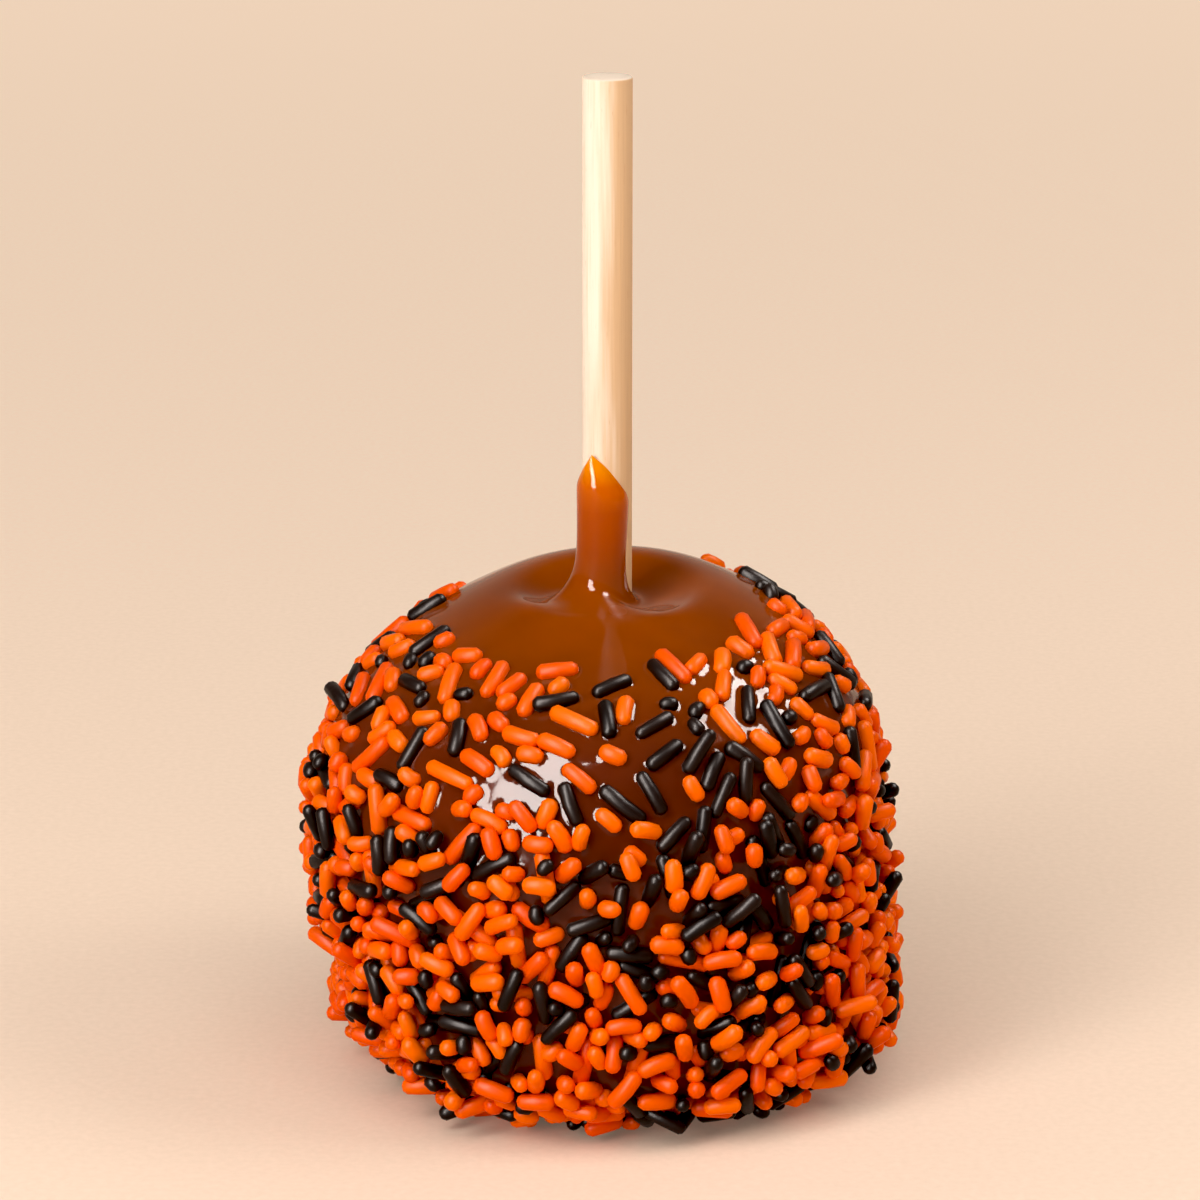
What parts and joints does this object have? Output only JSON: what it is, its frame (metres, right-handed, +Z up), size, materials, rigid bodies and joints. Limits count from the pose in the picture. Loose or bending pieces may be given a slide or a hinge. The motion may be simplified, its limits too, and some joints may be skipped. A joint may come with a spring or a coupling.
{
  "type": "caramel apple",
  "caption": "Apple dipped in glossy amber caramel and rolled in orange and black sprinkles, held by an upright round wooden stick with a caramel tongue at its foot.",
  "frame": {"origin": "middle of the flat foot, straight below the stick, on the surface that the apple stands on", "axes": "+Z up along the stick, -Y towards the side with the caramel tongue, +X to the right seen from that side"},
  "size_m": [0.0766, 0.0771, 0.1306],
  "materials": {
    "caramel": "glossy amber-brown set caramel",
    "orange_sprinkles": "orange sugar sprinkles with a soft sheen",
    "black_sprinkles": "brown-black sugar sprinkles with a soft sheen",
    "stick_wood": "pale bare wood, finely sanded, upright grain"
  },
  "bodies": {
    "root": {"caramel_apple": "caramel", "stick": "stick_wood"}
  },
  "joints": []
}
